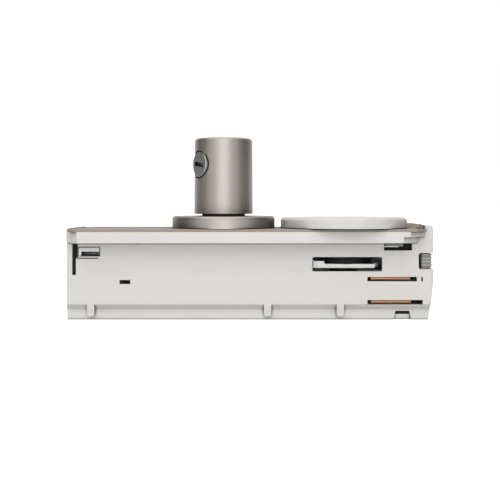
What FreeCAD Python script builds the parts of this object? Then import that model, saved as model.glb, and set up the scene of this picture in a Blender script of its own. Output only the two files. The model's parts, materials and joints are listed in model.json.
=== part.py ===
import FreeCAD, Part
import math
import os

from FreeCAD import Vector

os.makedirs("parts", exist_ok=True)

# Sizes are in millimetres. X runs along the adapter, Y across it and Z up, away from the track.
# The origin is the middle of the foot, the face that goes deepest into the track.

# Trough that sinks into the track
LENGTH = 100.0
BODY_WIDTH = 18.5
SIDE_WALL = 1.0
END_WALL = 1.2
FLOOR = 1.2
FOOT_HEIGHT = 2.9
FOOT_INSET = 1.2
FOOT_CHAMFER = 1.35
CORNER_RADIUS = 0.8
END_SLOPE_HEIGHT = 10.6
END_SLOPE_DEPTH = 1.25
END_BLOCK_LENGTH = 2.4
END_BLOCK_RISE = 0.9
RIB_WIDTH = 2.0
RIB_BOTTOM = 0.9
RIB_ROUND = 0.8
END_RIB_INSET = 6.6
LOCK_RIB_INSETS = (21.7, 1.9)
STIFFENER_INSETS = (17.0, 29.0)
STIFFENER_THICKNESS = 1.0
STIFFENER_TOP = 7.0

# Shoulder that seats on the face of the track
SHOULDER_Z = 21.1
SHOULDER_WIDTH = 29.0
SHOULDER_LIP = 1.6
WEB = 1.4
SHELL_GAP = 0.1
CUT_DEPTH = 0.5
END_GAP = 0.05
MITRE_LEFT = 4.0
MITRE_RIGHT = 5.0
LIP_SETBACK = 1.8

# Pressed plate over the shoulder
PLATE = 0.7
PLATE_ROUND = 0.3
PLATE_MITRE = 3.0
PLATE_LIP_LENGTH = 2.9
PLATE_LIP_RISE = 1.3
PLATE_LIP_CREST = 0.9
PLATE_LIP_FALL = 0.6
PLATE_LIP_WIDTH = 17.0

# Cord sleeve and what holds it
DISC_THICKNESS = 3.4
DISC_ROUND = 0.8
DISC_TO_KNOB = 1.7
WASHER_THICKNESS = 0.6
WASHER_RADIUS = 6.1
SLEEVE_TOP_RADIUS = 8.1
SLEEVE_FOOT_RADIUS = 8.25
SLEEVE_LENGTH = 21.1
SLEEVE_BORE = 5.2
SLEEVE_CHAMFER = 0.4
THREAD_RADIUS = 4.95
THREAD_GAP = 0.05
THREAD_DEPTH = 7.6
NIPPLE_BORE = 3.9
NIPPLE_BELOW_NUT = 0.5
NUT_FLATS = 14.0
NUT_THICKNESS = 3.0
NUT_WASHER_WALL_GAP = 1.05
NUT_WASHER_THICKNESS = 0.8

# Screw across the sleeve that grips the cord
GRIP_Z = 42.6
GRIP_TURN = 213.0
GRIP_HEAD_RADIUS = 3.65
GRIP_HEAD_THICKNESS = 1.3
GRIP_HEAD_ROUND = 0.32
GRIP_FACE = 8.0
GRIP_SHANK_RADIUS = 2.0
GRIP_GAP = 0.05
GRIP_RECESS_GAP = 0.3
GRIP_SLOT_LENGTH = 4.3
GRIP_SLOT_WIDTH = 0.8
GRIP_SLOT_DEPTH = 0.7
GRIP_SLOT_TILT = 9.0

# Turning axes of the lock and of the contacts
CONTACT_TO_END = 1.4
BLADE_TO_SPINDLE = 0.35
SPINDLE_RADIUS = 1.75
SPINDLE_FLAT = 1.35
KEY_GAP = 0.03
BEARING_GAP = 0.06
BEARING_WALL = 1.4
BEARING_TOP = 3.0
STEP_GAP = 0.15

# Knob
KNOB_RADIUS = 17.8
KNOB_GAP = 0.15
KNOB_THICKNESS = 2.9
KNOB_TOP_WALL = 1.4
KNOB_RIM = 1.8
KNOB_ROUND = 1.0
KNOB_BOSS_RADIUS = 4.5
KNOB_HUB_RADIUS = 6.0
KNOB_BOSS_GAP = 0.08
KNOB_PLATE_GAP = 0.5

# Lock tongue and its hub
TONGUE_Z = 13.95
TONGUE_THICKNESS = 1.2
TONGUE_PROUD = 3.05
TONGUE_WALL_GAP = 0.45
TONGUE_EAR = 3.5
TONGUE_FLAT = 7.7
TAB_SPAN = (6.1, 9.3)
TAB_DEPTH = 1.2
TAB_RISE = 0.8
TONGUE_SLOT_BELOW = 0.75
TONGUE_SLOT_ABOVE = 3.15
SLOT_END_GAP = 0.4
SLOT_ROUND = 0.5
HUB_RADIUS = 4.0
HUB_FLAT = 3.2
HUB_BELOW = 1.6
HUB_WALL_GAP = 0.25
HUB_CLEARANCE = 0.6
HUB_DISC_THICKNESS = 1.85
CAM_HALF = 4.6
CAM_CORNER_RADIUS = 5.8
CAM_HEIGHT = 2.6
HUB_TOP = 1.0
DETENT_THICKNESS = 0.3
DETENT_HALF_LENGTH = 9.5
DETENT_HEIGHT = 2.0
DETENT_POST = 1.6

# Gear pair
GEAR_TEETH = 16
GEAR_Z = 6.4
GEAR_THICKNESS = 3.0
GEAR_BACKLASH = 0.14
GEAR_ADDENDUM = 0.9
GEAR_DEDENDUM = 1.15
PRESSURE_ANGLE = 20.0
FLANK_STEPS = 3
GEAR_HUB_RADIUS = 3.4
GEAR_HUB_RISE = 0.6

# Contact rotor and its two blades
BLADE_Z = (4.4, 10.7)
BLADE_THICKNESS = 0.8
BLADE_WALL_GAP = 0.35
BLADE_PROUD = 1.65
BLADE_NOSE = 2.5
BLADE_FLAT = (6.4, 4.6)
BLADE_SETBACKS = (0.0, 0.7)
BLADE_SLOT_GAP = 0.2
SLOT_BRIDGE = 1.2
SLOT_EYE = 0.4
ROTOR_CORE_RADIUS = 3.0
ROTOR_CORE_FLAT = 2.4
ROTOR_FLANGE_RADIUS = 4.4
ROTOR_FLANGE = 1.0
ROTOR_JOURNAL = 1.8

# Carrier that holds the top of the contact rotor
CARRIER_Z = 12.2
CARRIER_THICKNESS = 1.1
CARRIER_FROM_LOCK = 3.0
CARRIER_SIDE_GAP = 0.15
CARRIER_END_GAP = 0.3
CARRIER_LEDGE = 1.6
CARRIER_LEDGE_DEPTH = 0.65
CARRIER_LEDGE_HEIGHT = 2.0
CARRIER_POST = 3.2
CARRIER_POST_DEPTH = 1.9
NOTCH_LENGTH = 4.1
NOTCH_Z = (13.8, 18.2)
NOTCH_ROUND = 0.7
NOTCH_SHADOW = 1.1
END_RIBS = 4
END_RIB_DEPTH = 0.2

# Terminals and the spring strips that feed the blades
TERMINAL_FROM_LOCK = 26.0
TERMINAL_LENGTH = 11.5
TERMINAL_WALL_GAP = 1.35
TERMINAL_TOP = 10.6
CLAMP_PARTITION = 0.9
CLAMP_HEIGHT = 6.4
CLAMP_Z = 2.6
CLAMP_INSET = 1.2
CLAMP_LENGTH = 7.5
CLAMP_GAP = 0.1
CLAMP_BORE = 1.2
SCREW_WAY_GAP = 0.3
TERMINAL_SCREW_RADIUS = 1.0
TERMINAL_SCREW_LENGTH = 4.4
TERMINAL_SCREW_SLOT = 0.5
WIPER_THICKNESS = 0.3
WIPER_WIDTH = 2.0
WIPER_Z = 4.6
WIPER_GAP = 0.15
WIPER_BEND_GAP = 0.6
WIPER_TIP_FROM_CONTACT = 3.5

# Snap hooks of the shell and their windows
HOOK_INSETS = (13.5, 5.9)
HOOK_Z = (18.9, 20.8)
HOOK_GAP = 0.3
HOOK_THICKNESS = 1.1
HOOK_WALL_GAP = 0.2
HOOK_BARB = 0.8
HOOK_BARB_HEIGHT = 0.6
HOOK_LENGTH = 5.0

# Sprung catch at the far end
CATCH_INSETS = (3.2, 9.2)
CATCH_Z = (17.3, 19.9)
CATCH_GAP = 0.2
CATCH_PROUD = 0.08
CATCH_TRAVEL = 0.9
CATCH_DEPTH = 5.75
CATCH_LEG = 0.7
CATCH_BAR = 1.1
CATCH_RECESS = 3.0
CATCH_SHELF = 1.0
CATCH_SPRING_SPARE = 0.4
CATCH_SPRING_THICKNESS = 0.25
CATCH_WALL = 1.0
SLIT_INSETS = (1.6, 2.6)
SLIT_Z = (12.2, 20.7)
SLIT_FLARE = 0.5
SLIT_FLARE_Z = 16.9
GROOVE_INSETS = (2.6, 8.6)
GROOVE_Z = (16.65, 16.95)
GROOVE_DEPTH = 0.3

# Small openings in the front wall
PEEP_INSETS = (14.5, 17.4)
PEEP_Z = (9.75, 10.85)
FOOT_NOTCH_INSETS = (10.7, 5.9)
FOOT_NOTCH_HEIGHT = 2.3
FOOT_NOTCH_DEPTH = 0.7
FOOT_NOTCH_TAPER = 0.5

# Sizes worked out from those above
HALF_LENGTH = LENGTH / 2
BODY_HALF = BODY_WIDTH / 2
SHOULDER_HALF = SHOULDER_WIDTH / 2
INNER_HALF = BODY_HALF - SIDE_WALL
BACK_OF_INNER_END = HALF_LENGTH - END_WALL
TONGUE_REACH = BODY_HALF + TONGUE_PROUD
TONGUE_DISC = INNER_HALF - TONGUE_WALL_GAP
HUB_DISC_RADIUS = INNER_HALF - HUB_WALL_GAP
BLADE_REACH = BODY_HALF + BLADE_PROUD
BLADE_DISC = INNER_HALF - BLADE_WALL_GAP
CONTACT_X = BACK_OF_INNER_END - CONTACT_TO_END - BLADE_DISC
LOCK_X = CONTACT_X - BLADE_REACH - SPINDLE_RADIUS - BLADE_TO_SPINDLE
DISC_RADIUS = SHOULDER_HALF
NUT_WASHER_RADIUS = INNER_HALF - NUT_WASHER_WALL_GAP
SLEEVE_X = LOCK_X - KNOB_RADIUS - DISC_RADIUS - DISC_TO_KNOB
GEAR_RADIUS = (CONTACT_X - LOCK_X) / 2
CARRIER_LEFT = LOCK_X + CARRIER_FROM_LOCK
NOTCH_LEFT = HALF_LENGTH - NOTCH_LENGTH
TERMINAL_X = (LOCK_X - TERMINAL_FROM_LOCK, LOCK_X - TERMINAL_FROM_LOCK + TERMINAL_LENGTH)
TERMINAL_HALF = INNER_HALF - TERMINAL_WALL_GAP
POLE_PITCH = TERMINAL_HALF * 2 / 3
CLAMP_SIZE = POLE_PITCH - CLAMP_PARTITION
WIPER_BEND_X = TERMINAL_X[1] + WIPER_BEND_GAP
WIPER_TIP_X = CONTACT_X - WIPER_TIP_FROM_CONTACT
RIB_PLACES = (END_RIB_INSET - HALF_LENGTH, LOCK_X - LOCK_RIB_INSETS[0], LOCK_X - LOCK_RIB_INSETS[1])
STIFFENER_PLACES = [inset - HALF_LENGTH for inset in STIFFENER_INSETS]
HOOK_X = [HALF_LENGTH - inset for inset in HOOK_INSETS]
FOOT_NOTCH_X = [HALF_LENGTH - inset for inset in FOOT_NOTCH_INSETS]
CATCH_X = [inset - HALF_LENGTH for inset in CATCH_INSETS]
SLIT_X = [inset - HALF_LENGTH for inset in SLIT_INSETS]
GROOVE_X = [inset - HALF_LENGTH for inset in GROOVE_INSETS]
PEEP_X = [inset - HALF_LENGTH for inset in PEEP_INSETS]
CATCH_REAR = CATCH_DEPTH - BODY_HALF
CATCH_SPRING_BOW = CATCH_TRAVEL + CATCH_SPRING_SPARE
FOOT_HALF = BODY_HALF - FOOT_INSET
CHAMFER_TOP = FOOT_HEIGHT + FOOT_CHAMFER
WEB_Z = SHOULDER_Z + SHOULDER_LIP
SHELL_TOP = WEB_Z + WEB
PLATE_TOP = SHELL_TOP + PLATE
BLOCK_X = HALF_LENGTH - END_BLOCK_LENGTH
SHELL_RIGHT = BLOCK_X - END_GAP
DISC_TOP = PLATE_TOP + DISC_THICKNESS
SLEEVE_Z = DISC_TOP + WASHER_THICKNESS
SLEEVE_TOP = SLEEVE_Z + SLEEVE_LENGTH
NIPPLE_TOP = SLEEVE_Z + THREAD_DEPTH
NUT_WASHER_Z = WEB_Z - NUT_WASHER_THICKNESS
NUT_Z = NUT_WASHER_Z - NUT_THICKNESS
HOLE_RADIUS = THREAD_RADIUS + THREAD_GAP
TONGUE_TOP = TONGUE_Z + TONGUE_THICKNESS
HUB_DISC_TOP = TONGUE_TOP + HUB_DISC_THICKNESS
CAM_TOP = HUB_DISC_TOP + CAM_HEIGHT
HUB_END = CAM_TOP + HUB_TOP
KNOB_Z = PLATE_TOP + KNOB_GAP
KNOB_TOP = KNOB_Z + KNOB_THICKNESS
GEAR_TOP = GEAR_Z + GEAR_THICKNESS
CARRIER_TOP = CARRIER_Z + CARRIER_THICKNESS
PAST = 1.0


def box(x0, x1, y0, y1, z0, z1):
    return Part.makeBox(x1 - x0, y1 - y0, z1 - z0, Vector(x0, y0, z0))


def post(x, y, radius, z0, z1):
    return Part.makeCylinder(radius, z1 - z0, Vector(x, y, z0))


def ring(x, y, outer, inner, z0, z1):
    return post(x, y, outer, z0, z1).cut(post(x, y, inner, z0 - PAST, z1 + PAST))


def drawn(points, direction):
    wire = Part.makePolygon(points + [points[0]])
    return Part.Face(wire).extrude(direction)


def drawn_from_above(points, z0, z1):
    return drawn([Vector(x, y, z0) for x, y in points], Vector(0, 0, z1 - z0))


def drawn_from_end(points, x0, x1):
    return drawn([Vector(x0, y, z) for y, z in points], Vector(x1 - x0, 0, 0))


def drawn_from_side(points, y0, y1):
    return drawn([Vector(x, y0, z) for x, z in points], Vector(0, y1 - y0, 0))


def turned(points, x):
    corners = [Vector(x + radius, 0, z) for radius, z in points]
    face = Part.Face(Part.makePolygon(corners + [corners[0]]))
    return face.revolve(Vector(x, 0, 0), Vector(0, 0, 1), 360)


def mirrored(shape):
    return shape.mirror(Vector(0, 0, 0), Vector(0, 1, 0))


def both_sides(shape):
    return shape.fuse(mirrored(shape))


def symmetric(points):
    return points + [(x, -y) for x, y in reversed(points)]


def round_corners(shape, radius):
    upright = [edge for edge in shape.Edges if abs(edge.tangentAt(edge.FirstParameter).z) > 0.99]
    return shape.makeFillet(radius, upright)


def round_rim(shape, radius, z):
    rim = [edge for edge in shape.Edges if edge.BoundBox.ZMin > z - 0.01 and edge.BoundBox.ZMax < z + 0.01]
    widest = max(edge.BoundBox.DiagonalLength for edge in rim)
    return shape.makeFillet(radius, [edge for edge in rim if edge.BoundBox.DiagonalLength > widest - 0.01])


def keyed(x, radius, flat, z0, z1):
    return post(x, 0, radius, z0, z1).common(box(x - flat, x + flat, -radius, radius, z0, z1))


def d_shaft(x, radius, flat, z0, z1):
    return post(x, 0, radius, z0, z1).common(box(x - radius, x + flat, -radius, radius, z0, z1))


def slot_half_length(reach):
    return math.sqrt(reach ** 2 - INNER_HALF ** 2) + SLOT_END_GAP


def involute(angle):
    return math.tan(angle) - angle


def gear(x, phase, z0, z1):
    module = 2 * GEAR_RADIUS / GEAR_TEETH
    tip = GEAR_RADIUS + GEAR_ADDENDUM * module
    root = GEAR_RADIUS - GEAR_DEDENDUM * module
    pressure = math.radians(PRESSURE_ANGLE)
    base = GEAR_RADIUS * math.cos(pressure)
    half_tooth = math.pi / (2 * GEAR_TEETH) - GEAR_BACKLASH / (2 * GEAR_RADIUS)
    flank = [(root, half_tooth + involute(pressure))]
    for step in range(FLANK_STEPS + 1):
        radius = base + (tip - base) * step / FLANK_STEPS
        roll = involute(math.acos(min(1.0, base / radius)))
        flank.append((radius, half_tooth + involute(pressure) - roll))
    outline = []
    for tooth in range(GEAR_TEETH):
        middle = phase + 2 * math.pi * tooth / GEAR_TEETH
        for radius, angle in flank:
            outline.append((x + radius * math.cos(middle - angle), radius * math.sin(middle - angle)))
        for radius, angle in reversed(flank):
            outline.append((x + radius * math.cos(middle + angle), radius * math.sin(middle + angle)))
    return drawn_from_above(outline, z0, z1)


def eared_disc(x, disc, reach, ear, z0, z1, ends):
    shape = post(x, 0, disc, z0, z1)
    for end in ends:
        tip = x + end * (reach - ear)
        shape = shape.fuse(post(tip, 0, ear, z0, z1))
        arm = box(min(x, tip), max(x, tip), -ear, ear, z0, z1)
        shape = shape.fuse(arm)
    return shape


def trough_shape():
    outer = drawn_from_end(end_points(BODY_HALF, FOOT_HALF, 0, WEB_Z), -HALF_LENGTH, HALF_LENGTH)
    block_top = PLATE_TOP + END_BLOCK_RISE
    outer = outer.fuse(box(BLOCK_X, HALF_LENGTH, -BODY_HALF, BODY_HALF, WEB_Z, block_top))
    side = [
        (-HALF_LENGTH, 0),
        (HALF_LENGTH - END_SLOPE_DEPTH, 0),
        (HALF_LENGTH, END_SLOPE_HEIGHT),
        (HALF_LENGTH, block_top - CORNER_RADIUS),
        (HALF_LENGTH - CORNER_RADIUS, block_top),
        (-HALF_LENGTH, block_top),
    ]
    outer = outer.common(drawn_from_side(side, -BODY_WIDTH, BODY_WIDTH))
    blank = box(-HALF_LENGTH, HALF_LENGTH, -BODY_HALF, BODY_HALF, -PAST, block_top + PAST)
    outer = outer.common(round_corners(blank, CORNER_RADIUS))
    inner = end_points(INNER_HALF, FOOT_HALF - SIDE_WALL, FLOOR, WEB_Z)
    return outer.cut(drawn_from_end(inner, -HALF_LENGTH + END_WALL, BACK_OF_INNER_END))


def end_points(half, foot_half, bottom, top):
    right = [(foot_half, bottom), (foot_half, FOOT_HEIGHT), (half, CHAMFER_TOP), (half, top)]
    return right + [(-y, z) for y, z in reversed(right)]


def foot_ribs():
    ribs = None
    for x in RIB_PLACES:
        rib = box(x - RIB_WIDTH / 2, x + RIB_WIDTH / 2, FOOT_HALF - SIDE_WALL / 2, BODY_HALF,
                  RIB_BOTTOM, CHAMFER_TOP)
        across = [edge for edge in rib.Edges if edge.BoundBox.XLength < 0.01]
        foot = [edge for edge in across if edge.BoundBox.ZMax < RIB_BOTTOM + 0.01]
        rib = rib.makeFillet(RIB_ROUND, foot)
        ribs = rib if ribs is None else ribs.fuse(rib)
    return both_sides(ribs)


def front_cuts():
    half = slot_half_length(TONGUE_REACH)
    tongue = box(LOCK_X - half, LOCK_X + half, INNER_HALF - PAST, BODY_HALF + PAST,
                 TONGUE_Z - TONGUE_SLOT_BELOW, TONGUE_Z + TONGUE_SLOT_ABOVE)
    tongue = tongue.makeFillet(SLOT_ROUND, [edge for edge in tongue.Edges if edge.BoundBox.YLength > PAST])
    window = box(HOOK_X[0], HOOK_X[1], INNER_HALF - CUT_DEPTH, BODY_HALF + PAST, HOOK_Z[0], HOOK_Z[1])
    cuts = [both_sides(tongue), both_sides(window)]
    front = -BODY_HALF - PAST
    back = CUT_DEPTH - INNER_HALF
    half = slot_half_length(BLADE_REACH)
    low, high = [z - BLADE_SLOT_GAP for z in BLADE_Z]
    height = BLADE_THICKNESS + 2 * BLADE_SLOT_GAP
    right = CONTACT_X + half
    cuts.append(box(CONTACT_X - half, right, front, back, low, low + height))
    cuts.append(box(CONTACT_X - half, right - SLOT_EYE - SLOT_BRIDGE, front, back, high, high + height))
    cuts.append(box(right - SLOT_EYE, right, front, back, high, high + height))
    cuts.append(box(CATCH_X[0], CATCH_X[1], front, back, CATCH_Z[0], CATCH_Z[1]))
    cuts.append(box(SLIT_X[0], SLIT_X[1], front, back, SLIT_Z[0], SLIT_Z[1]))
    cuts.append(box(SLIT_X[0], SLIT_X[1] + SLIT_FLARE, front, back, SLIT_FLARE_Z, SLIT_Z[1]))
    cuts.append(box(PEEP_X[0], PEEP_X[1], front, back, PEEP_Z[0], PEEP_Z[1]))
    groove_back = GROOVE_DEPTH - BODY_HALF
    cuts.append(box(GROOVE_X[0], GROOVE_X[1], front, groove_back, GROOVE_Z[0], GROOVE_Z[1]))
    notch = [
        (FOOT_NOTCH_X[0], -PAST),
        (FOOT_NOTCH_X[0], 0),
        (FOOT_NOTCH_X[0] + FOOT_NOTCH_TAPER, FOOT_NOTCH_HEIGHT),
        (FOOT_NOTCH_X[1] - FOOT_NOTCH_TAPER, FOOT_NOTCH_HEIGHT),
        (FOOT_NOTCH_X[1], 0),
        (FOOT_NOTCH_X[1], -PAST),
    ]
    cuts.append(drawn_from_side(notch, -BODY_HALF, -FOOT_HALF + FOOT_NOTCH_DEPTH))
    end = box(NOTCH_LEFT, HALF_LENGTH + PAST, -BODY_WIDTH, BODY_WIDTH, NOTCH_Z[0], NOTCH_Z[1])
    level = [edge for edge in end.Edges if edge.BoundBox.ZLength < 0.01]
    corners = [edge for edge in level if edge.BoundBox.XMax < NOTCH_LEFT + 0.01]
    cuts.append(end.makeFillet(NOTCH_ROUND, corners))
    return cuts


def bearings():
    outer = SPINDLE_RADIUS + BEARING_GAP + BEARING_WALL
    lock = ring(LOCK_X, 0, outer, SPINDLE_RADIUS + BEARING_GAP, FLOOR, BEARING_TOP)
    contact = ring(CONTACT_X, 0, outer, ROTOR_JOURNAL + BEARING_GAP, FLOOR, BEARING_TOP)
    return lock.fuse(contact)


def carrier_seats():
    ledge = box(CARRIER_LEFT, CARRIER_LEFT + CARRIER_LEDGE, INNER_HALF - CARRIER_LEDGE_DEPTH,
                BODY_HALF - SIDE_WALL / 2, CARRIER_Z - CARRIER_LEDGE_HEIGHT, CARRIER_Z)
    left = BACK_OF_INNER_END - CARRIER_POST
    corner = box(left, BACK_OF_INNER_END, INNER_HALF - CARRIER_POST_DEPTH, INNER_HALF, FLOOR, CARRIER_Z)
    inside = drawn_from_end(end_points(BODY_HALF - SIDE_WALL / 2, FOOT_HALF - SIDE_WALL / 2, 0, WEB_Z),
                            CARRIER_LEFT, HALF_LENGTH)
    return both_sides(ledge).fuse(corner.common(inside))


def detent_posts():
    y0 = CAM_HALF + STEP_GAP + DETENT_THICKNESS
    y1 = BODY_HALF - SIDE_WALL / 2
    z0 = HUB_DISC_TOP + STEP_GAP
    right = box(LOCK_X + DETENT_HALF_LENGTH - DETENT_POST, LOCK_X + DETENT_HALF_LENGTH, y0, y1, z0, CAM_TOP)
    left = box(LOCK_X - DETENT_HALF_LENGTH, LOCK_X - DETENT_HALF_LENGTH + DETENT_POST, y0, y1, z0, CAM_TOP)
    return left.fuse(right)


def catch_pocket():
    wall = -BODY_HALF + SIDE_WALL / 2
    back = CATCH_REAR + CATCH_SPRING_BOW + CATCH_SPRING_THICKNESS + CATCH_GAP
    shelf_z = CATCH_Z[0] - CATCH_SHELF
    left = SLIT_X[1] + SLIT_FLARE
    shelf = box(left, CATCH_X[1] + CATCH_WALL, wall, back + CATCH_WALL, shelf_z, CATCH_Z[0])
    rear = box(left, CATCH_X[1] + CATCH_WALL, back, back + CATCH_WALL, shelf_z, CATCH_Z[1])
    right = box(CATCH_X[1], CATCH_X[1] + CATCH_WALL, wall, back + CATCH_WALL, shelf_z, CATCH_Z[1])
    return shelf.fuse(rear).fuse(right)


def stiffeners():
    walls = None
    section = end_points(BODY_HALF - SIDE_WALL / 2, FOOT_HALF - SIDE_WALL / 2, FLOOR / 2, STIFFENER_TOP)
    for x in STIFFENER_PLACES:
        wall = drawn_from_end(section, x, x + STIFFENER_THICKNESS)
        walls = wall if walls is None else walls.fuse(wall)
    return walls


def housing():
    shape = trough_shape()
    for piece in (foot_ribs(), bearings(), carrier_seats(), detent_posts(), catch_pocket(), stiffeners()):
        shape = shape.fuse(piece)
    for cut in front_cuts():
        shape = shape.cut(cut)
    return shape


def shell_outline(setback):
    right = SHELL_RIGHT - setback
    front = right - MITRE_RIGHT
    return symmetric([
        (-HALF_LENGTH, BODY_HALF + SHELL_GAP),
        (-HALF_LENGTH + MITRE_LEFT, SHOULDER_HALF),
        (front, SHOULDER_HALF),
        (right, BODY_HALF + SHELL_GAP),
    ])


def shell_hooks():
    outer = INNER_HALF - HOOK_WALL_GAP
    x0 = HOOK_X[0] + HOOK_GAP
    top = HOOK_Z[1] - HOOK_GAP
    bottom = top - HOOK_BARB_HEIGHT
    profile = [
        (outer - HOOK_THICKNESS, WEB_Z),
        (outer - HOOK_THICKNESS, bottom),
        (outer, bottom),
        (outer + HOOK_BARB, top),
        (outer, top),
        (outer, WEB_Z),
    ]
    return both_sides(drawn_from_end(profile, x0, x0 + HOOK_LENGTH))


def shell():
    web = drawn_from_above(shell_outline(0), WEB_Z, SHELL_TOP)
    lip = drawn_from_above(shell_outline(LIP_SETBACK), SHOULDER_Z, WEB_Z)
    inside = BODY_HALF + SHELL_GAP
    lip = lip.cut(box(-LENGTH, LENGTH, -inside, inside, SHOULDER_Z - PAST, WEB_Z))
    shape = web.fuse(lip).fuse(shell_hooks())
    shape = shape.cut(post(SLEEVE_X, 0, HOLE_RADIUS, 0, SHELL_TOP + PAST))
    return shape.cut(post(LOCK_X, 0, KNOB_BOSS_RADIUS + KNOB_BOSS_GAP, 0, SHELL_TOP + PAST))


def cover_plate():
    outline = symmetric([
        (-HALF_LENGTH, SHOULDER_HALF - PLATE_MITRE),
        (-HALF_LENGTH + PLATE_MITRE, SHOULDER_HALF),
        (SHELL_RIGHT - PLATE_MITRE, SHOULDER_HALF),
        (SHELL_RIGHT, SHOULDER_HALF - PLATE_MITRE),
    ])
    sheet = drawn_from_above(outline, SHELL_TOP, PLATE_TOP)
    rim = [edge for edge in sheet.Edges if edge.BoundBox.ZMin > PLATE_TOP - 0.01]
    sheet = sheet.makeFillet(PLATE_ROUND, rim)
    left = SHELL_RIGHT - PLATE_LIP_LENGTH
    lip = [
        (left, SHELL_TOP),
        (left, PLATE_TOP - PLATE_ROUND),
        (SHELL_RIGHT - PLATE_LIP_CREST, PLATE_TOP + PLATE_LIP_RISE),
        (SHELL_RIGHT, PLATE_TOP + PLATE_LIP_RISE - PLATE_LIP_FALL),
        (SHELL_RIGHT, SHELL_TOP),
    ]
    sheet = sheet.fuse(drawn_from_side(lip, -PLATE_LIP_WIDTH / 2, PLATE_LIP_WIDTH / 2))
    sheet = sheet.cut(post(SLEEVE_X, 0, HOLE_RADIUS, 0, DISC_TOP))
    return sheet.cut(post(LOCK_X, 0, KNOB_BOSS_RADIUS + KNOB_PLATE_GAP, 0, DISC_TOP))


def base_disc():
    disc = post(SLEEVE_X, 0, DISC_RADIUS, PLATE_TOP, DISC_TOP)
    disc = round_rim(disc, DISC_ROUND, DISC_TOP)
    return disc.cut(post(SLEEVE_X, 0, HOLE_RADIUS, 0, SLEEVE_TOP))


def fibre_washer():
    return ring(SLEEVE_X, 0, WASHER_RADIUS, HOLE_RADIUS, DISC_TOP, SLEEVE_Z)


def grip_placement(shape):
    shape.rotate(Vector(0, 0, 0), Vector(1, 0, 0), -GRIP_SLOT_TILT)
    shape.rotate(Vector(0, 0, 0), Vector(0, 0, 1), GRIP_TURN)
    shape.translate(Vector(SLEEVE_X, 0, GRIP_Z))
    return shape


def cross_rod(radius, inner_end, outer_end):
    return Part.makeCylinder(radius, outer_end - inner_end, Vector(inner_end, 0, 0), Vector(1, 0, 0))


def cord_sleeve():
    profile = [
        (HOLE_RADIUS, SLEEVE_Z),
        (SLEEVE_FOOT_RADIUS, SLEEVE_Z),
        (SLEEVE_TOP_RADIUS, SLEEVE_TOP - SLEEVE_CHAMFER),
        (SLEEVE_TOP_RADIUS - SLEEVE_CHAMFER, SLEEVE_TOP),
        (SLEEVE_BORE + SLEEVE_CHAMFER, SLEEVE_TOP),
        (SLEEVE_BORE, SLEEVE_TOP - SLEEVE_CHAMFER),
        (SLEEVE_BORE, NIPPLE_TOP + THREAD_GAP),
        (HOLE_RADIUS, NIPPLE_TOP + THREAD_GAP),
    ]
    sleeve = turned(profile, SLEEVE_X)
    floor = GRIP_FACE - GRIP_HEAD_THICKNESS
    recess = grip_placement(cross_rod(GRIP_HEAD_RADIUS + GRIP_RECESS_GAP, floor, SLEEVE_FOOT_RADIUS + PAST))
    hole = grip_placement(cross_rod(GRIP_SHANK_RADIUS + GRIP_GAP, 0, SLEEVE_FOOT_RADIUS + PAST))
    return sleeve.cut(recess).cut(hole)


def clamp_screw():
    head = cross_rod(GRIP_HEAD_RADIUS, GRIP_FACE - GRIP_HEAD_THICKNESS, GRIP_FACE)
    rim = [edge for edge in head.Edges if edge.BoundBox.XMin > GRIP_FACE - 0.01]
    head = head.makeFillet(GRIP_HEAD_ROUND, rim)
    shank = cross_rod(GRIP_SHANK_RADIUS, SLEEVE_BORE + GRIP_GAP, GRIP_FACE - GRIP_HEAD_THICKNESS)
    slot = box(GRIP_FACE - GRIP_SLOT_DEPTH, GRIP_FACE + PAST, -GRIP_SLOT_LENGTH / 2, GRIP_SLOT_LENGTH / 2,
               -GRIP_SLOT_WIDTH / 2, GRIP_SLOT_WIDTH / 2)
    return grip_placement(head.fuse(shank).cut(slot))


def threaded_nipple():
    return ring(SLEEVE_X, 0, THREAD_RADIUS, NIPPLE_BORE, NUT_Z - NIPPLE_BELOW_NUT, NIPPLE_TOP)


def nipple_nut():
    corner = NUT_FLATS / 2 / math.cos(math.radians(30))
    points = []
    for side in range(6):
        angle = math.radians(60 * side)
        points.append((SLEEVE_X + corner * math.cos(angle), corner * math.sin(angle)))
    nut = drawn_from_above(points, NUT_Z, NUT_WASHER_Z)
    return nut.cut(post(SLEEVE_X, 0, HOLE_RADIUS, 0, SLEEVE_TOP))


def nipple_washer():
    return ring(SLEEVE_X, 0, NUT_WASHER_RADIUS, HOLE_RADIUS, NUT_WASHER_Z, WEB_Z)


def spindle_hole(z0, z1):
    return d_shaft(LOCK_X, SPINDLE_RADIUS + KEY_GAP, SPINDLE_FLAT + KEY_GAP, z0, z1)


def lock_knob():
    knob = post(LOCK_X, 0, KNOB_RADIUS, KNOB_Z, KNOB_TOP)
    knob = round_rim(knob, KNOB_ROUND, KNOB_TOP)
    ceiling = KNOB_TOP - KNOB_TOP_WALL
    knob = knob.cut(ring(LOCK_X, 0, KNOB_RADIUS - KNOB_RIM, KNOB_HUB_RADIUS, KNOB_Z - PAST, ceiling))
    knob = knob.fuse(post(LOCK_X, 0, KNOB_BOSS_RADIUS, HUB_END + STEP_GAP, KNOB_Z))
    return knob.cut(spindle_hole(0, ceiling))


def lock_spindle():
    journal = post(LOCK_X, 0, SPINDLE_RADIUS, FLOOR + STEP_GAP, BEARING_TOP)
    top = KNOB_TOP - KNOB_TOP_WALL - STEP_GAP
    return journal.fuse(d_shaft(LOCK_X, SPINDLE_RADIUS, SPINDLE_FLAT, BEARING_TOP, top))


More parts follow.
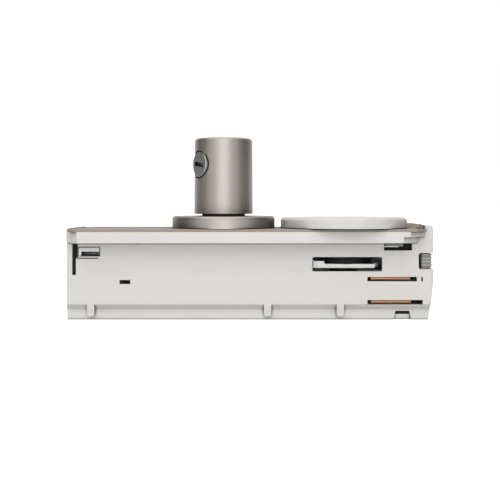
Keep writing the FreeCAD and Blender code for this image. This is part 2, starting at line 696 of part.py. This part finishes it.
def lock_hub():
    lower = post(LOCK_X, 0, HUB_RADIUS, TONGUE_Z - HUB_BELOW, TONGUE_Z)
    core = keyed(LOCK_X, HUB_RADIUS, HUB_FLAT, TONGUE_Z, TONGUE_TOP)
    disc = post(LOCK_X, 0, HUB_DISC_RADIUS, TONGUE_TOP, HUB_DISC_TOP)
    cam = post(LOCK_X, 0, CAM_CORNER_RADIUS, HUB_DISC_TOP, CAM_TOP)
    square = box(LOCK_X - CAM_HALF, LOCK_X + CAM_HALF, -CAM_HALF, CAM_HALF, HUB_DISC_TOP, CAM_TOP)
    top = post(LOCK_X, 0, HUB_RADIUS, CAM_TOP, HUB_END)
    hub = lower.fuse(core).fuse(disc).fuse(cam.common(square)).fuse(top)
    return hub.cut(spindle_hole(0, SLEEVE_TOP))


def lock_tongue():
    tongue = eared_disc(LOCK_X, TONGUE_DISC, TONGUE_REACH, TONGUE_EAR, TONGUE_Z, TONGUE_TOP, (-1, 1))
    middle = box(LOCK_X - TONGUE_FLAT, LOCK_X + TONGUE_FLAT, -TONGUE_DISC, TONGUE_DISC, TONGUE_Z, TONGUE_TOP)
    tab_left = LOCK_X - TAB_SPAN[1]
    tab_right = LOCK_X - TAB_SPAN[0]
    tab = box(tab_left, tab_right, -TONGUE_DISC, TAB_DEPTH - TONGUE_DISC, TONGUE_Z, TONGUE_TOP + TAB_RISE)
    root = box(tab_left, tab_right, -TONGUE_DISC, 0, TONGUE_Z, TONGUE_TOP)
    side = tab.fuse(root)
    other_side = side.copy()
    other_side.rotate(Vector(LOCK_X, 0, 0), Vector(0, 0, 1), 180)
    tongue = tongue.fuse(middle).fuse(side).fuse(other_side)
    hole = keyed(LOCK_X, HUB_RADIUS + KEY_GAP, HUB_FLAT + KEY_GAP, TONGUE_Z - PAST, TONGUE_TOP + PAST)
    return tongue.cut(hole)


def drive_gear():
    hub = post(LOCK_X, 0, GEAR_HUB_RADIUS, GEAR_Z - GEAR_HUB_RISE, GEAR_TOP + GEAR_HUB_RISE)
    return gear(LOCK_X, 0, GEAR_Z, GEAR_TOP).fuse(hub).cut(spindle_hole(0, SLEEVE_TOP))


def detent_spring():
    y0 = CAM_HALF + STEP_GAP
    z0 = HUB_DISC_TOP + STEP_GAP * 2
    return box(LOCK_X - DETENT_HALF_LENGTH, LOCK_X + DETENT_HALF_LENGTH, y0, y0 + DETENT_THICKNESS,
               z0, z0 + DETENT_HEIGHT)


def contact_rotor():
    low, high = BLADE_Z
    low_top = low + BLADE_THICKNESS
    high_top = high + BLADE_THICKNESS
    shape = post(CONTACT_X, 0, ROTOR_JOURNAL, FLOOR + STEP_GAP, low - ROTOR_FLANGE)
    shape = shape.fuse(post(CONTACT_X, 0, ROTOR_FLANGE_RADIUS, low - ROTOR_FLANGE, low))
    shape = shape.fuse(keyed(CONTACT_X, ROTOR_CORE_RADIUS, ROTOR_CORE_FLAT, low, low_top))
    shape = shape.fuse(post(CONTACT_X, 0, ROTOR_FLANGE_RADIUS, low_top, high))
    shape = shape.fuse(gear(CONTACT_X, math.pi + math.pi / GEAR_TEETH, GEAR_Z, GEAR_TOP))
    shape = shape.fuse(keyed(CONTACT_X, ROTOR_CORE_RADIUS, ROTOR_CORE_FLAT, high, high_top))
    return shape.fuse(post(CONTACT_X, 0, ROTOR_JOURNAL, high_top, CARRIER_TOP))


def contact_blade(z, setback):
    top = z + BLADE_THICKNESS
    blade = eared_disc(CONTACT_X, BLADE_DISC - setback, BLADE_REACH, BLADE_NOSE, z, top, (-1,))
    flat = box(CONTACT_X - BLADE_FLAT[0], CONTACT_X + BLADE_FLAT[1], setback - BLADE_DISC, 0, z, top)
    blade = blade.fuse(flat)
    core = keyed(CONTACT_X, ROTOR_CORE_RADIUS + KEY_GAP, ROTOR_CORE_FLAT + KEY_GAP, z - PAST, top + PAST)
    return blade.cut(core)


def contact_carrier():
    side = INNER_HALF - CARRIER_SIDE_GAP
    right = BACK_OF_INNER_END - CARRIER_END_GAP
    plate = box(CARRIER_LEFT, right, -side, side, CARRIER_Z, CARRIER_TOP)
    gap = NOTCH_Z[1] - NOTCH_Z[0] - 2 * CARRIER_END_GAP
    end_z = NOTCH_Z[0] + CARRIER_END_GAP
    end_left = NOTCH_LEFT + NOTCH_SHADOW
    end = box(end_left, HALF_LENGTH - END_RIB_DEPTH, -side, side, end_z, end_z + gap)
    neck = box(end_left, right, -side, side, CARRIER_TOP, end_z)
    shape = plate.fuse(neck).fuse(end)
    pitch = gap / END_RIBS
    for rib in range(END_RIBS):
        z = end_z + pitch * rib
        groove = box(HALF_LENGTH - 2 * END_RIB_DEPTH, HALF_LENGTH, -BODY_WIDTH, BODY_WIDTH, z, z + pitch / 2)
        shape = shape.cut(groove)
        for y in (-side, side):
            notch = box(end_left, HALF_LENGTH, y - END_RIB_DEPTH, y + END_RIB_DEPTH, z, z + pitch / 2)
            shape = shape.cut(notch)
    shape = shape.cut(post(CONTACT_X, 0, ROTOR_JOURNAL + BEARING_GAP, 0, WEB_Z))
    return shape.cut(post(LOCK_X, 0, HUB_RADIUS + HUB_CLEARANCE, 0, WEB_Z))


def pole_places():
    return (-POLE_PITCH, 0.0, POLE_PITCH)


def terminal_block():
    left, right = TERMINAL_X
    block = box(left, right, -TERMINAL_HALF, TERMINAL_HALF, FLOOR, TERMINAL_TOP)
    half = CLAMP_SIZE / 2 + CLAMP_GAP
    for y in pole_places():
        block = block.cut(box(left - PAST, left + CLAMP_INSET + CLAMP_LENGTH, y - half, y + half,
                              CLAMP_Z, CLAMP_Z + CLAMP_HEIGHT + CLAMP_GAP))
        screw_x = left + CLAMP_INSET + CLAMP_LENGTH / 2
        screw_way = post(screw_x, y, TERMINAL_SCREW_RADIUS + SCREW_WAY_GAP, CLAMP_Z, TERMINAL_TOP + PAST)
        block = block.cut(screw_way)
        block = block.cut(box(left + CLAMP_INSET + CLAMP_LENGTH - PAST, right + PAST,
                              y - WIPER_WIDTH / 2 - CLAMP_GAP, y + WIPER_WIDTH / 2 + CLAMP_GAP,
                              WIPER_Z, WIPER_Z + WIPER_THICKNESS + CLAMP_GAP))
    return block


def terminal_clamps():
    x0 = TERMINAL_X[0] + CLAMP_INSET
    x1 = x0 + CLAMP_LENGTH
    clamps = []
    for y in pole_places():
        clamp = box(x0, x1, y - CLAMP_SIZE / 2, y + CLAMP_SIZE / 2, CLAMP_Z, CLAMP_Z + CLAMP_HEIGHT)
        wire_z = CLAMP_Z + CLAMP_SIZE / 2
        start = Vector(x0 - PAST, y, wire_z)
        wire_way = Part.makeCylinder(CLAMP_BORE, CLAMP_LENGTH + 2 * PAST, start, Vector(1, 0, 0))
        clamp = clamp.cut(wire_way)
        thread = post((x0 + x1) / 2, y, TERMINAL_SCREW_RADIUS + THREAD_GAP, wire_z, TERMINAL_TOP)
        clamps.append(clamp.cut(thread))
    return Part.makeCompound(clamps)


def terminal_screws():
    x = TERMINAL_X[0] + CLAMP_INSET + CLAMP_LENGTH / 2
    bottom = CLAMP_Z + CLAMP_SIZE
    top = bottom + TERMINAL_SCREW_LENGTH
    screws = []
    for y in pole_places():
        screw = post(x, y, TERMINAL_SCREW_RADIUS, bottom, top)
        slot = box(x - CLAMP_SIZE, x + CLAMP_SIZE, y - TERMINAL_SCREW_SLOT / 2, y + TERMINAL_SCREW_SLOT / 2,
                   top - TERMINAL_SCREW_SLOT, top + PAST)
        screws.append(screw.cut(slot))
    return Part.makeCompound(screws)


def wiper(y, strip_z, tip_x):
    foot_x = TERMINAL_X[0] + CLAMP_INSET + CLAMP_LENGTH
    t = WIPER_THICKNESS
    if strip_z > WIPER_Z:
        path = [
            (foot_x, WIPER_Z),
            (WIPER_BEND_X + t, WIPER_Z),
            (WIPER_BEND_X + t, strip_z),
            (tip_x, strip_z),
            (tip_x, strip_z + t),
            (WIPER_BEND_X, strip_z + t),
            (WIPER_BEND_X, WIPER_Z + t),
            (foot_x, WIPER_Z + t),
        ]
    else:
        path = [
            (foot_x, WIPER_Z + t),
            (WIPER_BEND_X + t, WIPER_Z + t),
            (WIPER_BEND_X + t, strip_z + t),
            (tip_x, strip_z + t),
            (tip_x, strip_z),
            (WIPER_BEND_X, strip_z),
            (WIPER_BEND_X, WIPER_Z),
            (foot_x, WIPER_Z),
        ]
    return drawn_from_side(path, y - WIPER_WIDTH / 2, y + WIPER_WIDTH / 2)


def line_wiper():
    return wiper(POLE_PITCH, BLADE_Z[1] + BLADE_THICKNESS + WIPER_GAP, WIPER_TIP_X)


def neutral_wiper():
    return wiper(-POLE_PITCH, BLADE_Z[0] - WIPER_GAP - WIPER_THICKNESS, WIPER_TIP_X)


def earth_wiper():
    return wiper(0.0, TONGUE_Z - WIPER_GAP - WIPER_THICKNESS, LOCK_X - HUB_RADIUS - 2 * WIPER_GAP)


def end_catch():
    x0 = CATCH_X[0] + CATCH_GAP
    x1 = CATCH_X[1] - CATCH_GAP
    z0 = CATCH_Z[0] + CATCH_GAP
    z1 = CATCH_Z[1] - CATCH_GAP
    front = -BODY_HALF - CATCH_PROUD
    block = box(x0, x1, front, CATCH_REAR, z0, z1)
    recess = box(x0 + CATCH_LEG, x1 + PAST, front - PAST, front + CATCH_RECESS, z0 - PAST, z1 - CATCH_BAR)
    return block.cut(recess)


def catch_spring():
    x0 = CATCH_X[0] + CATCH_GAP
    x1 = CATCH_X[1] - CATCH_GAP
    middle = (x0 + x1) / 2
    foot = CATCH_REAR + CATCH_SPRING_BOW + CATCH_GAP
    crest = CATCH_REAR + CATCH_GAP
    t = CATCH_SPRING_THICKNESS
    z0 = CATCH_Z[0] + CATCH_GAP
    inner = Part.Arc(Vector(x0, foot, z0), Vector(middle, crest, z0), Vector(x1, foot, z0)).toShape()
    crown = Vector(middle, crest + t, z0)
    outer = Part.Arc(Vector(x1, foot + t, z0), crown, Vector(x0, foot + t, z0)).toShape()
    ends = [
        Part.makeLine(Vector(x1, foot, z0), Vector(x1, foot + t, z0)),
        Part.makeLine(Vector(x0, foot + t, z0), Vector(x0, foot, z0)),
    ]
    face = Part.Face(Part.Wire([inner, ends[0], outer, ends[1]]))
    return face.extrude(Vector(0, 0, CATCH_Z[1] - CATCH_Z[0] - 2 * CATCH_GAP))


def save(name, shape):
    clean = shape.removeSplitter()
    clean.exportStep("parts/" + name + ".step")
    print(name, len(clean.Solids), clean.isValid(), round(clean.Volume, 2))


def main():
    save("housing", housing())
    save("flange_shell", shell())
    save("cover_plate", cover_plate())
    save("base_disc", base_disc())
    save("fibre_washer", fibre_washer())
    save("cord_sleeve", cord_sleeve())
    save("clamp_screw", clamp_screw())
    save("threaded_nipple", threaded_nipple())
    save("nipple_nut", nipple_nut())
    save("nipple_washer", nipple_washer())
    save("lock_knob", lock_knob())
    save("lock_spindle", lock_spindle())
    save("lock_hub", lock_hub())
    save("lock_tongue", lock_tongue())
    save("drive_gear", drive_gear())
    save("detent_spring", detent_spring())
    save("contact_rotor", contact_rotor())
    save("neutral_blade", contact_blade(BLADE_Z[0], BLADE_SETBACKS[0]))
    save("line_blade", contact_blade(BLADE_Z[1], BLADE_SETBACKS[1]))
    save("contact_carrier", contact_carrier())
    save("terminal_block", terminal_block())
    save("terminal_clamps", terminal_clamps())
    save("terminal_screws", terminal_screws())
    save("line_wiper", line_wiper())
    save("neutral_wiper", neutral_wiper())
    save("earth_wiper", earth_wiper())
    save("end_catch", end_catch())
    save("catch_spring", catch_spring())


main()
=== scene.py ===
import json
import math

import bmesh
import bpy
from mathutils import Matrix, Vector

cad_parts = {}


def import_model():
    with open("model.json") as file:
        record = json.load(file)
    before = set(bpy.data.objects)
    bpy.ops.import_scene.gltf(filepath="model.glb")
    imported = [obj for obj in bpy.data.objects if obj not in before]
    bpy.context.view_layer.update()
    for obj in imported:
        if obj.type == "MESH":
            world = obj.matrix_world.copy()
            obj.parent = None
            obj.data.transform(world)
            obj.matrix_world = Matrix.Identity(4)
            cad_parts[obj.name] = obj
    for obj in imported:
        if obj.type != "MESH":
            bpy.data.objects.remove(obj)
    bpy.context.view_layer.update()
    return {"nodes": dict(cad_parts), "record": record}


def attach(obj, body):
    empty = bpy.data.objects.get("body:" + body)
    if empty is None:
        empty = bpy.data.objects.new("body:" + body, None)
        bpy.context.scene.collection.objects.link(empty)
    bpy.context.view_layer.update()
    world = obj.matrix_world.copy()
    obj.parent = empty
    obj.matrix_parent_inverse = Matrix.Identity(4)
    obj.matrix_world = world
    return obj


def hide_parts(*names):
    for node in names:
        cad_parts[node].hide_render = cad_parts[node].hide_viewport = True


MM = 0.001

# Camera, worked out from the photograph's perspective
CAMERA_BACK = 214.7 * MM
CAMERA_HEIGHT = 31.0 * MM
FOCAL_PIXELS = 755.0
IMAGE_PIXELS = 500.0
HORIZON_ROW = 206.0
SENSOR = 36.0
CLIP = (0.01, 20.0)

# Lamps around the object: place, size and power
LAMP_TARGET = (0, 0, 0.025)
LAMPS = {
    "key": ((-0.12, -0.65, 0.80), (1.6, 0.7), 6.5),
    "fill": ((0.0, -0.90, 0.03), (0.65, 0.3), 3.4),
    "top": ((0.0, 0.10, 0.9), (0.9, 0.9), 3.4),
}

# White background, seen directly and in mirrored rays, and the plain grey that lights the object
PURE_WHITE = (1, 1, 1)
WORLD_GREY = (0.20, 0.20, 0.20)

# Floor just below the foot; its glow by distance from the middle keeps the shadow and hides the horizon
FLOOR_SIZE = 6.0
FLOOR_DROP = 0.2 * MM
FLOOR_GREY = (0.8, 0.8, 0.8)
FLOOR_ROUGHNESS = 0.9
FLOOR_GLOSS = 0.1
GLOW_REACH = (0.10, 0.45)
GLOW_STRENGTH = (0.72, 1.1)

# Dark cards left and right of the object, which give the metal its dark sides
CARD_SIZE = 0.36
CARD_PLACE = (0.30, 0.03, 0.20)
CARD_GREY = (0.10, 0.10, 0.10)
CARD_ROUGHNESS = 1.0

# Softened edges with a painted highlight: a little lighter where the softened normal leaves the true one
EDGE_RADIUS = 0.25 * MM
EDGE_SAMPLES = 6
EDGE_TURN = (0.80, 0.97)
EDGE_HIGHLIGHT_SHARE = 0.12
EDGE_LIGHT = 1.25

# Shade in narrow corners (nooks) and, weaker, in wide ones (hollows), each a share of the colour
NOOK_REACH = 0.7 * MM
NOOK_SHADE = 0.28
HOUSING_REACH = 1.0 * MM
SLOT_REACH = 1.7 * MM
DEEP_REACH = 2.5 * MM
HOLLOW_REACH = 5.0 * MM
HOLLOW_SHADE = 0.58
SHADE_SAMPLES = 8
OPEN_SPAN = (0.35, 0.95)

# Heights between which the wide shade comes in, so that the floor doesn't darken the foot
FOOT_FADE = (1.5 * MM, 5.0 * MM)

# Fine grain and wide clouds: detail, clouds per metre, span of the noise used, grain's share of the mottle
GRAIN_DETAIL = 3
CLOUD_DETAIL = 4
CLOUD_SCALE = 90
NOISE_SPAN = (0.3, 0.7)
SPECKLE = 0.5

# Usual specular level
GLOSS = 0.5

# Roughness runs from a little below to a little above its value over this span of the grain
ROUGH_SPAN = (0.25, 0.75)
ROUGH_BELOW = 0.06
ROUGH_ABOVE = 0.08

# Colours as the photograph shows them, in linear light
HOUSING_GREY = (0.70, 0.685, 0.66)
KNOB_GREY = (0.67, 0.655, 0.63)
# The plate's colour holds a painted reflection: darker and warmer than the plate's own grey, with its gloss
# kept low
PLATE_GREY_AND_REFLECTION = (0.335, 0.272, 0.232)
SATIN_GREY = (0.29, 0.265, 0.245)
STEEL_GREY = (0.30, 0.288, 0.276)
NICKEL = (0.34, 0.335, 0.33)
SPRING_GREY = (0.20, 0.20, 0.21)
BRASS = (0.62, 0.42, 0.17)
COPPER = (0.38, 0.195, 0.10)
BLACK = (0.016, 0.016, 0.017)
WHITE = (0.85, 0.85, 0.83)
CARRIER_GREY = (0.47, 0.46, 0.44)
FIBRE_BROWN = (0.055, 0.028, 0.018)

# Surface of each slot; grain and relief are the grain's size and depth in millimetres
SURFACES = {
    "housing_plastic": dict(colour=HOUSING_GREY, roughness=0.42, grain=0.30, relief=0.010, mottle=0.035,
                            nook_shade=0.04, nook_reach=HOUSING_REACH),
    "knob_plastic": dict(colour=KNOB_GREY, roughness=0.42, grain=0.30, relief=0.010, mottle=0.035),
    "plate_metal": dict(colour=PLATE_GREY_AND_REFLECTION, metallic=0.2, roughness=0.55, grain=0.20, relief=0.006,
                        mottle=0.04, gloss=0.1),
    "satin_metal": dict(colour=SATIN_GREY, metallic=1.0, roughness=0.43, grain=0.30, relief=0.018,
                        mottle=0.09),
    "screw_steel": dict(colour=STEEL_GREY, metallic=1.0, roughness=0.40, grain=0.25, relief=0.008,
                        mottle=0.05, nook_shade=0.03, nook_reach=SLOT_REACH),
    "nickel_steel": dict(colour=NICKEL, metallic=1.0, roughness=0.36, grain=0.25, relief=0.003, mottle=0.04),
    "spring_steel": dict(colour=SPRING_GREY, metallic=1.0, roughness=0.30, grain=0.20, relief=0.003,
                         mottle=0.05),
    "brass": dict(colour=BRASS, metallic=1.0, roughness=0.30, grain=0.20, relief=0.004, mottle=0.05),
    "copper": dict(colour=COPPER, metallic=1.0, roughness=0.34, grain=0.25, relief=0.004, mottle=0.08,
                   stretch=(0.15, 1, 1)),
    "black_plastic": dict(colour=BLACK, roughness=0.6, grain=0.22, relief=0.004, mottle=0.1, gloss=0.1),
    "white_plastic": dict(colour=WHITE, roughness=0.40, grain=0.22, relief=0.004, mottle=0.02,
                          nook_shade=0.03, nook_reach=DEEP_REACH),
    "carrier_plastic": dict(colour=CARRIER_GREY, roughness=0.45, grain=0.22, relief=0.006, mottle=0.04),
    "fibre": dict(colour=FIBRE_BROWN, roughness=0.8, grain=0.30, relief=0.020, mottle=0.2),
}

# Small parts of the body that only the scene has, two of them dark pieces that paint shade: outline from
# above, heights, edge radius and slot
RIM_INNER = -48.95
TRIMS = {
    "tongue_guide": dict(outline=[(14.2, -8.2), (18.4, -8.2), (18.4, -6.9), (14.2, -6.9)],
                         rise=(16.1, 18.2), rounding=0.25, slot="black_plastic"),
    "hook_guide": dict(outline=[(41.9, -8.2), (45.6, -8.2), (45.6, -6.9), (41.9, -6.9)],
                       rise=(18.5, 21.8), rounding=0.25, slot="black_plastic"),
    # A dark piece behind the hook window: painted shade in that recess
    "hook_shade": dict(outline=[(36.6, -8.2), (41.95, -8.2), (41.95, -7.6), (36.6, -7.6)],
                       rise=(18.5, 19.75), rounding=0.1, slot="black_plastic"),
    # A thin dark strip on the foot notch's wall: painted shade in place of a dark opening
    "foot_notch_shade": dict(outline=[(39.85, -7.42), (43.55, -7.42), (43.55, -7.3), (39.85, -7.3)],
                     rise=(1.4, 2.25), rounding=0.03, slot="black_plastic"),
    "end_rim": dict(outline=[(-50.0, -9.35), (RIM_INNER, -10.7), (RIM_INNER, 10.7), (-50.0, 9.35)],
                    rise=(24.1, 25.0), rounding=0.12, slot="housing_plastic"),
}
TRIM_SEGMENTS = 3

# The plate's left end, which stops at that rim
PLATE_END = -49.5
PLATE_CUT = 1.1

# The grip screw's slot in the screw's own frame, half as long and wide, and the wider slot of the photograph
GRIP_PLACE = (-7.5, 0.0, 42.6)
GRIP_TURN = 213.0
GRIP_TILT = 9.0
SLOT_HALVES = (2.15, 0.4)
WIDE_HALVES = (2.45, 0.6)
NEAR = 0.02


def add(tree, kind, **inputs):
    node = tree.nodes.new(kind)
    for name, value in inputs.items():
        node.inputs[name.replace("_", " ")].default_value = value
    return node


def principled(name, roughness, gloss):
    made = bpy.data.materials.new(name)
    made.use_nodes = True
    shader = made.node_tree.nodes["Principled BSDF"]
    shader.inputs["Roughness"].default_value = roughness
    shader.inputs["Specular IOR Level"].default_value = gloss
    return made, made.node_tree, shader


def noise(tree, place, scale, detail, name):
    node = add(tree, "ShaderNodeTexNoise", Scale=scale, Detail=detail)
    node.label = name
    tree.links.new(place, node.inputs["Vector"])
    return node.outputs["Fac"]


def ranged(tree, value, low, high, out_low, out_high):
    node = add(tree, "ShaderNodeMapRange", From_Min=low, From_Max=high, To_Min=out_low, To_Max=out_high)
    tree.links.new(value, node.inputs["Value"])
    return node.outputs["Result"]


def maths(tree, operation, first, second):
    node = tree.nodes.new("ShaderNodeMath")
    node.operation = operation
    tree.links.new(first, node.inputs[0])
    tree.links.new(second, node.inputs[1])
    return node.outputs["Value"]


def mixed(tree, factor, first, second):
    mix = tree.nodes.new("ShaderNodeMix")
    mix.data_type = "RGBA"
    tree.links.new(factor, mix.inputs["Factor"])
    for name, colour in (("A", first), ("B", second)):
        if isinstance(colour, tuple):
            mix.inputs[name].default_value = (*colour, 1)
        else:
            tree.links.new(colour, mix.inputs[name])
    return mix.outputs["Result"]


def scaled(colour, factor):
    return tuple(min(1.0, channel * factor) for channel in colour)


def shaded(tree, colours, dark, reach, lit=None):
    corner = add(tree, "ShaderNodeAmbientOcclusion", Distance=reach)
    corner.samples = SHADE_SAMPLES
    open_air = ranged(tree, corner.outputs["AO"], *OPEN_SPAN, 0, 1)
    if lit:
        open_air = maths(tree, "MAXIMUM", open_air, lit)
    return mixed(tree, open_air, dark, colours)


def foot_mask(tree, place):
    split = tree.nodes.new("ShaderNodeSeparateXYZ")
    tree.links.new(place, split.inputs["Vector"])
    return ranged(tree, split.outputs["Z"], *FOOT_FADE, 1, 0)


# Share of the painted edge highlight, by how far the softened normal turns from the true one
def edge_highlight_mask(tree, soft):
    turn = tree.nodes.new("ShaderNodeVectorMath")
    turn.operation = "DOT_PRODUCT"
    tree.links.new(soft, turn.inputs[0])
    tree.links.new(tree.nodes.new("ShaderNodeNewGeometry").outputs["Normal"], turn.inputs[1])
    return ranged(tree, turn.outputs["Value"], *EDGE_TURN, EDGE_HIGHLIGHT_SHARE, 0)


def material(name, colour, roughness, grain, relief, mottle, metallic=0.0, stretch=(1, 1, 1),
             nook_shade=NOOK_SHADE, nook_reach=NOOK_REACH, gloss=GLOSS):
    made, tree, shader = principled(name, roughness, gloss)
    shader.inputs["Metallic"].default_value = metallic
    place = tree.nodes.new("ShaderNodeTexCoord").outputs["Object"]
    spread = add(tree, "ShaderNodeMapping", Scale=stretch)
    tree.links.new(place, spread.inputs["Vector"])
    fine = noise(tree, spread.outputs["Vector"], 1 / (grain * MM), GRAIN_DETAIL, "grain")
    cloud = noise(tree, place, CLOUD_SCALE, CLOUD_DETAIL, "cloud")
    soft = add(tree, "ShaderNodeBevel", Radius=EDGE_RADIUS)
    soft.samples = EDGE_SAMPLES

    speckle = ranged(tree, fine, *NOISE_SPAN, 0, SPECKLE)
    shade = maths(tree, "ADD", speckle, ranged(tree, cloud, *NOISE_SPAN, 0, 1 - SPECKLE))
    colours = mixed(tree, shade, scaled(colour, 1 - mottle), scaled(colour, 1 + mottle))
    # Painted highlight along the edges
    colours = mixed(tree, edge_highlight_mask(tree, soft.outputs["Normal"]), colours, scaled(colour, EDGE_LIGHT))
    colours = shaded(tree, colours, scaled(colour, HOLLOW_SHADE), HOLLOW_REACH, foot_mask(tree, place))
    colours = shaded(tree, colours, scaled(colour, nook_shade), nook_reach)
    tree.links.new(colours, shader.inputs["Base Color"])

    rough = ranged(tree, fine, *ROUGH_SPAN, roughness - ROUGH_BELOW, roughness + ROUGH_ABOVE)
    tree.links.new(rough, shader.inputs["Roughness"])
    bump = add(tree, "ShaderNodeBump", Strength=1.0, Distance=relief * MM)
    tree.links.new(soft.outputs["Normal"], bump.inputs["Normal"])
    tree.links.new(fine, bump.inputs["Height"])
    tree.links.new(bump.outputs["Normal"], shader.inputs["Normal"])
    return made


def recolour(obj, made):
    for slot in obj.material_slots:
        slot.material = made


def placed(obj):
    bpy.context.scene.collection.objects.link(obj)
    return obj


def trim(name, made, outline, rise, rounding, slot):
    form = bmesh.new()
    low, high = [[form.verts.new((x * MM, y * MM, z * MM)) for x, y in outline] for z in rise]
    form.faces.new(low)
    form.faces.new(high)
    for i in range(len(outline)):
        after = (i + 1) % len(outline)
        form.faces.new((low[i], low[after], high[after], high[i]))
    bmesh.ops.recalc_face_normals(form, faces=form.faces[:])
    bmesh.ops.bevel(form, geom=form.edges[:], offset=rounding * MM, segments=TRIM_SEGMENTS, profile=0.5,
                    affect="EDGES")
    mesh = bpy.data.meshes.new(name)
    form.to_mesh(mesh)
    form.free()
    mesh.materials.append(made[slot])
    piece = placed(bpy.data.objects.new(name, mesh))
    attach(piece, "body")


def reshaped(obj, node, move):
    piece = obj.copy()
    piece.data = obj.data.copy()
    piece.name = node + "_fitted"
    placed(piece)
    for vertex in piece.data.vertices:
        vertex.co = move(vertex.co / MM) * MM
    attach(piece, "body")
    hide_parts(node)


def shorter_plate(place):
    if place.x > PLATE_END:
        return place
    return place + Vector((PLATE_CUT, math.copysign(PLATE_CUT, place.y), 0))


def wider_slot(place):
    heading = Matrix.Rotation(math.radians(GRIP_TURN), 3, "Z")
    turn = heading @ Matrix.Rotation(math.radians(-GRIP_TILT), 3, "X")
    own = turn.inverted() @ (place - Vector(GRIP_PLACE))
    if abs(abs(own.y) - SLOT_HALVES[0]) > NEAR or abs(abs(own.z) - SLOT_HALVES[1]) > NEAR:
        return place
    wide = Vector((own.x, math.copysign(WIDE_HALVES[0], own.y), math.copysign(WIDE_HALVES[1], own.z)))
    return turn @ wide + Vector(GRIP_PLACE)


def camera():
    data = bpy.data.cameras.new("camera")
    data.sensor_width = SENSOR
    data.lens = SENSOR * FOCAL_PIXELS / IMAGE_PIXELS
    data.shift_y = -(IMAGE_PIXELS / 2 - HORIZON_ROW) / IMAGE_PIXELS
    data.clip_start, data.clip_end = CLIP
    obj = placed(bpy.data.objects.new("camera", data))
    obj.location = (0, -CAMERA_BACK, CAMERA_HEIGHT)
    obj.rotation_euler = (math.radians(90), 0, 0)
    bpy.context.scene.camera = obj


def lamp(name, place, size, power):
    data = bpy.data.lights.new(name, "AREA")
    data.shape = "RECTANGLE"
    data.size, data.size_y = size
    data.energy = power
    obj = placed(bpy.data.objects.new(name, data))
    obj.location = place
    obj.rotation_euler = (Vector(LAMP_TARGET) - Vector(place)).to_track_quat("-Z", "Y").to_euler()


def background_rays(tree):
    path = tree.nodes.new("ShaderNodeLightPath")
    mirrored = maths(tree, "MAXIMUM", path.outputs["Is Glossy Ray"], path.outputs["Is Transmission Ray"])
    return maths(tree, "MAXIMUM", path.outputs["Is Camera Ray"], mirrored)


def world():
    studio = bpy.data.worlds.new("studio")
    bpy.context.scene.world = studio
    studio.use_nodes = True
    tree = studio.node_tree
    light = mixed(tree, background_rays(tree), WORLD_GREY, PURE_WHITE)
    tree.links.new(light, tree.nodes["Background"].inputs["Color"])


def sheet(name, size, made, location, rotation=(0, 0, 0)):
    bpy.ops.mesh.primitive_plane_add(size=size, location=location, rotation=rotation)
    plane = bpy.context.object
    plane.name = name
    plane.data.materials.append(made)
    return plane


def floor():
    made, tree, shader = principled("floor_white", FLOOR_ROUGHNESS, FLOOR_GLOSS)
    shader.inputs["Base Color"].default_value = (*FLOOR_GREY, 1)
    shader.inputs["Emission Color"].default_value = (*PURE_WHITE, 1)
    reach = tree.nodes.new("ShaderNodeVectorMath")
    reach.operation = "LENGTH"
    tree.links.new(tree.nodes.new("ShaderNodeTexCoord").outputs["Object"], reach.inputs[0])
    far = ranged(tree, reach.outputs["Value"], *GLOW_REACH, *GLOW_STRENGTH)
    glow = maths(tree, "MULTIPLY", background_rays(tree), far)
    tree.links.new(glow, shader.inputs["Emission Strength"])
    sheet("floor", FLOOR_SIZE, made, (0, 0, -FLOOR_DROP))


def side_cards():
    made, tree, shader = principled("card_dark", CARD_ROUGHNESS, 0.0)
    shader.inputs["Base Color"].default_value = (*CARD_GREY, 1)
    away, back, height = CARD_PLACE
    for name, side in (("card_left", -1), ("card_right", 1)):
        card = sheet(name, CARD_SIZE, made, (side * away, back, height), (0, math.radians(90), 0))
        card.visible_camera = False


def main():
    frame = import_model()
    made = {name: material(name, **surface) for name, surface in SURFACES.items()}
    slots = {part["node"]: part["material_slot"] for part in frame["record"]["subparts"]}
    for node, obj in frame["nodes"].items():
        recolour(obj, made[slots[node]])
    for name, form in TRIMS.items():
        trim(name, made, **form)
    reshaped(frame["nodes"]["cover_plate"], "cover_plate", shorter_plate)
    reshaped(frame["nodes"]["clamp_screw"], "clamp_screw", wider_slot)
    camera()
    for name, setting in LAMPS.items():
        lamp(name, *setting)
    world()
    floor()
    side_cards()
    bpy.context.scene.view_settings.view_transform = "Standard"


main()
